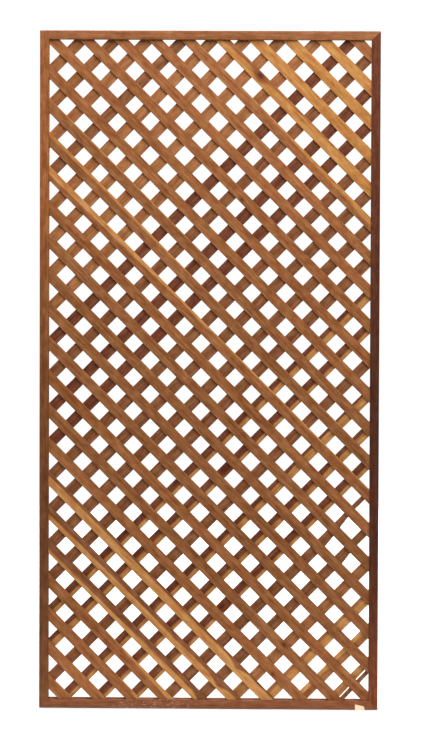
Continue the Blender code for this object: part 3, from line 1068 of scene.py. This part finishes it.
def staple_wire(x, z, y, turn):
    """One staple's crown and the tops of its legs, as rings of a round wire."""
    radius = STAPLE_WIRE / 2
    half = STAPLE_CROWN / 2 - radius
    bend = STAPLE_BEND
    path = [(-half, -STAPLE_LEG), (-half, -bend)]
    path += [(-half + BEND_MIDDLE * bend, -BEND_MIDDLE * bend), (-half + bend, 0)]
    path += [(-at, deep) for at, deep in reversed(path)]
    rings = []
    for step, (at, deep) in enumerate(path):
        before = path[max(step - 1, 0)]
        after = path[min(step + 1, len(path) - 1)]
        way = Vector((after[0] - before[0], after[1] - before[1])).normalized()
        ring = []
        for corner in range(STAPLE_SIDES):
            angle = math.tau * corner / STAPLE_SIDES
            out = radius * math.cos(angle)
            side = radius * math.sin(angle)
            along = at - way.y * out
            ring.append((
                x + along * math.cos(turn) + side * math.sin(turn),
                y + deep + way.x * out - radius,
                z - along * math.sin(turn) + side * math.cos(turn),
            ))
        rings.append(ring)
    return rings


def make_staples(layers, opening, material):
    """Wire staples at every crossing, driven from behind."""
    chance = random.Random(STAPLE_SEED)
    face = LAYER_DEPTH + LATH_THICKNESS / 2 + STAPLE_PROUD
    bm = bmesh.new()
    for front in layers["front"]:
        for back in layers["back"]:
            spot = staple_spot(front, back, opening)
            if spot is None:
                continue
            turn = chance.gauss(0, STAPLE_TURN)
            x = spot[0] + chance.gauss(0, STAPLE_SHIFT)
            z = spot[1] + chance.gauss(0, STAPLE_SHIFT)
            wire = staple_wire(x, z, face, turn)
            bridge(bm, [[bm.verts.new(corner) for corner in ring] for ring in wire])
    return add_piece("wire_staples", finished(bm, "wire_staples"), material)


def make_lattice(size, nodes, materials, zinc):
    """Both layers of laths and their staples, in place of the CAD's."""
    side, top = size.side - FRAME_FACE, size.height - FRAME_FACE
    opening = ((-side, FRAME_FACE), (side, top))
    reach = GROOVE_DEPTH - FIT_GAP
    limits = ((-side - reach, FRAME_FACE - reach), (side + reach, top + reach))
    cads = [cad for name, cad in nodes.items() if "lath" in name]
    layers = {layer.name: read_laths(cads, layer, opening) for layer in (FRONT, BACK)}
    made = {}
    for laths in layers.values():
        for lath in laths:
            piece = make_lath(lath, limits, materials)
            made[piece.name] = piece
    staples = make_staples(layers, opening, zinc)
    for name in nodes:
        if name in made:
            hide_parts(name)
        elif "lath" in name:
            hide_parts(name)


def colour_fasteners(nodes, zinc):
    """The mitre fasteners keep the part's own shapes."""
    for name, cad in nodes.items():
        if name.startswith("mitre_fastener"):
            cad.data.materials.clear()
            cad.data.materials.append(zinc)


def set_camera():
    """The photo's viewing angle."""
    data = bpy.data.cameras.new("camera")
    data.sensor_width = SENSOR
    data.lens = FOCAL_PIXELS / PHOTO_TALL * SENSOR
    data.shift_x, data.shift_y = CAMERA_SHIFT
    camera = add_object("camera", data)
    yaw = Matrix.Rotation(CAMERA_YAW, 4, "Z")
    pitch = Matrix.Rotation(math.pi / 2 - CAMERA_PITCH, 4, "X")
    roll = Matrix.Rotation(CAMERA_ROLL, 4, "Z")
    camera.matrix_world = Matrix.Translation(CAMERA_PLACE) @ yaw @ pitch @ roll
    bpy.context.scene.camera = camera


def set_light():
    """A white backdrop in a dim room, and soft lamps: high up, low down and over the floor behind."""
    scene = bpy.context.scene
    world = bpy.data.worlds.new("world")
    world.use_nodes = True
    tree = world.node_tree
    sky = tree.nodes["Background"]
    sky.inputs["Color"].default_value = (1, 1, 1, 1)
    way = node(tree, "ShaderNodeSeparateXYZ")
    link(tree, node(tree, "ShaderNodeTexCoord").outputs["Generated"], way.inputs["Vector"])
    behind = smooth_range(tree, way.outputs["Y"], -BACKDROP_EDGE, BACKDROP_EDGE)
    strength = maths(tree, "ADD", maths(tree, "MULTIPLY", behind, BACKDROP - ROOM), ROOM)
    link(tree, strength, sky.inputs["Strength"])
    scene.world = world
    for name, lamp in LAMPS.items():
        add_lamp(name, lamp)
    scene.view_settings.view_transform = "Standard"


def add_lamp(name, lamp):
    """A soft lamp that the camera doesn't see."""
    data = bpy.data.lights.new(name, "AREA")
    data.shape = "RECTANGLE"
    data.size = lamp.wide
    data.size_y = lamp.tall
    data.energy = lamp.power
    obj = add_object(name, data)
    obj.visible_camera = False
    aim = Vector(lamp.aim) - Vector(lamp.place)
    turn = aim.to_track_quat("-Z", "Y").to_matrix().to_4x4()
    obj.matrix_world = Matrix.Translation(lamp.place) @ turn


def add_floor():
    """A plain pale floor that the panel stands on."""
    bm = bmesh.new()
    bmesh.ops.create_grid(bm, x_segments=1, y_segments=1, size=FLOOR_SIZE / 2)
    floor = add_object("floor", made_mesh(bm, "floor"))
    material, tree, shader = new_material("floor")
    shader.inputs["Base Color"].default_value = (*FLOOR_COLOUR, 1.0)
    shader.inputs["Roughness"].default_value = FLOOR_ROUGH
    floor.data.materials.append(material)


def build():
    """The whole scene."""
    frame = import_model()
    materials = {}
    for name, tone in TONES.items():
        materials[name] = wood(name + "_wood", tone, SECOND_TONES.get(name, SAPWOOD))
    zinc = steel("zinc_steel")
    size = outer_size()
    make_frame(size, materials)
    make_lattice(size, frame["nodes"], materials, zinc)
    colour_fasteners(frame["nodes"], zinc)
    add_floor()
    set_light()
    set_camera()


build()
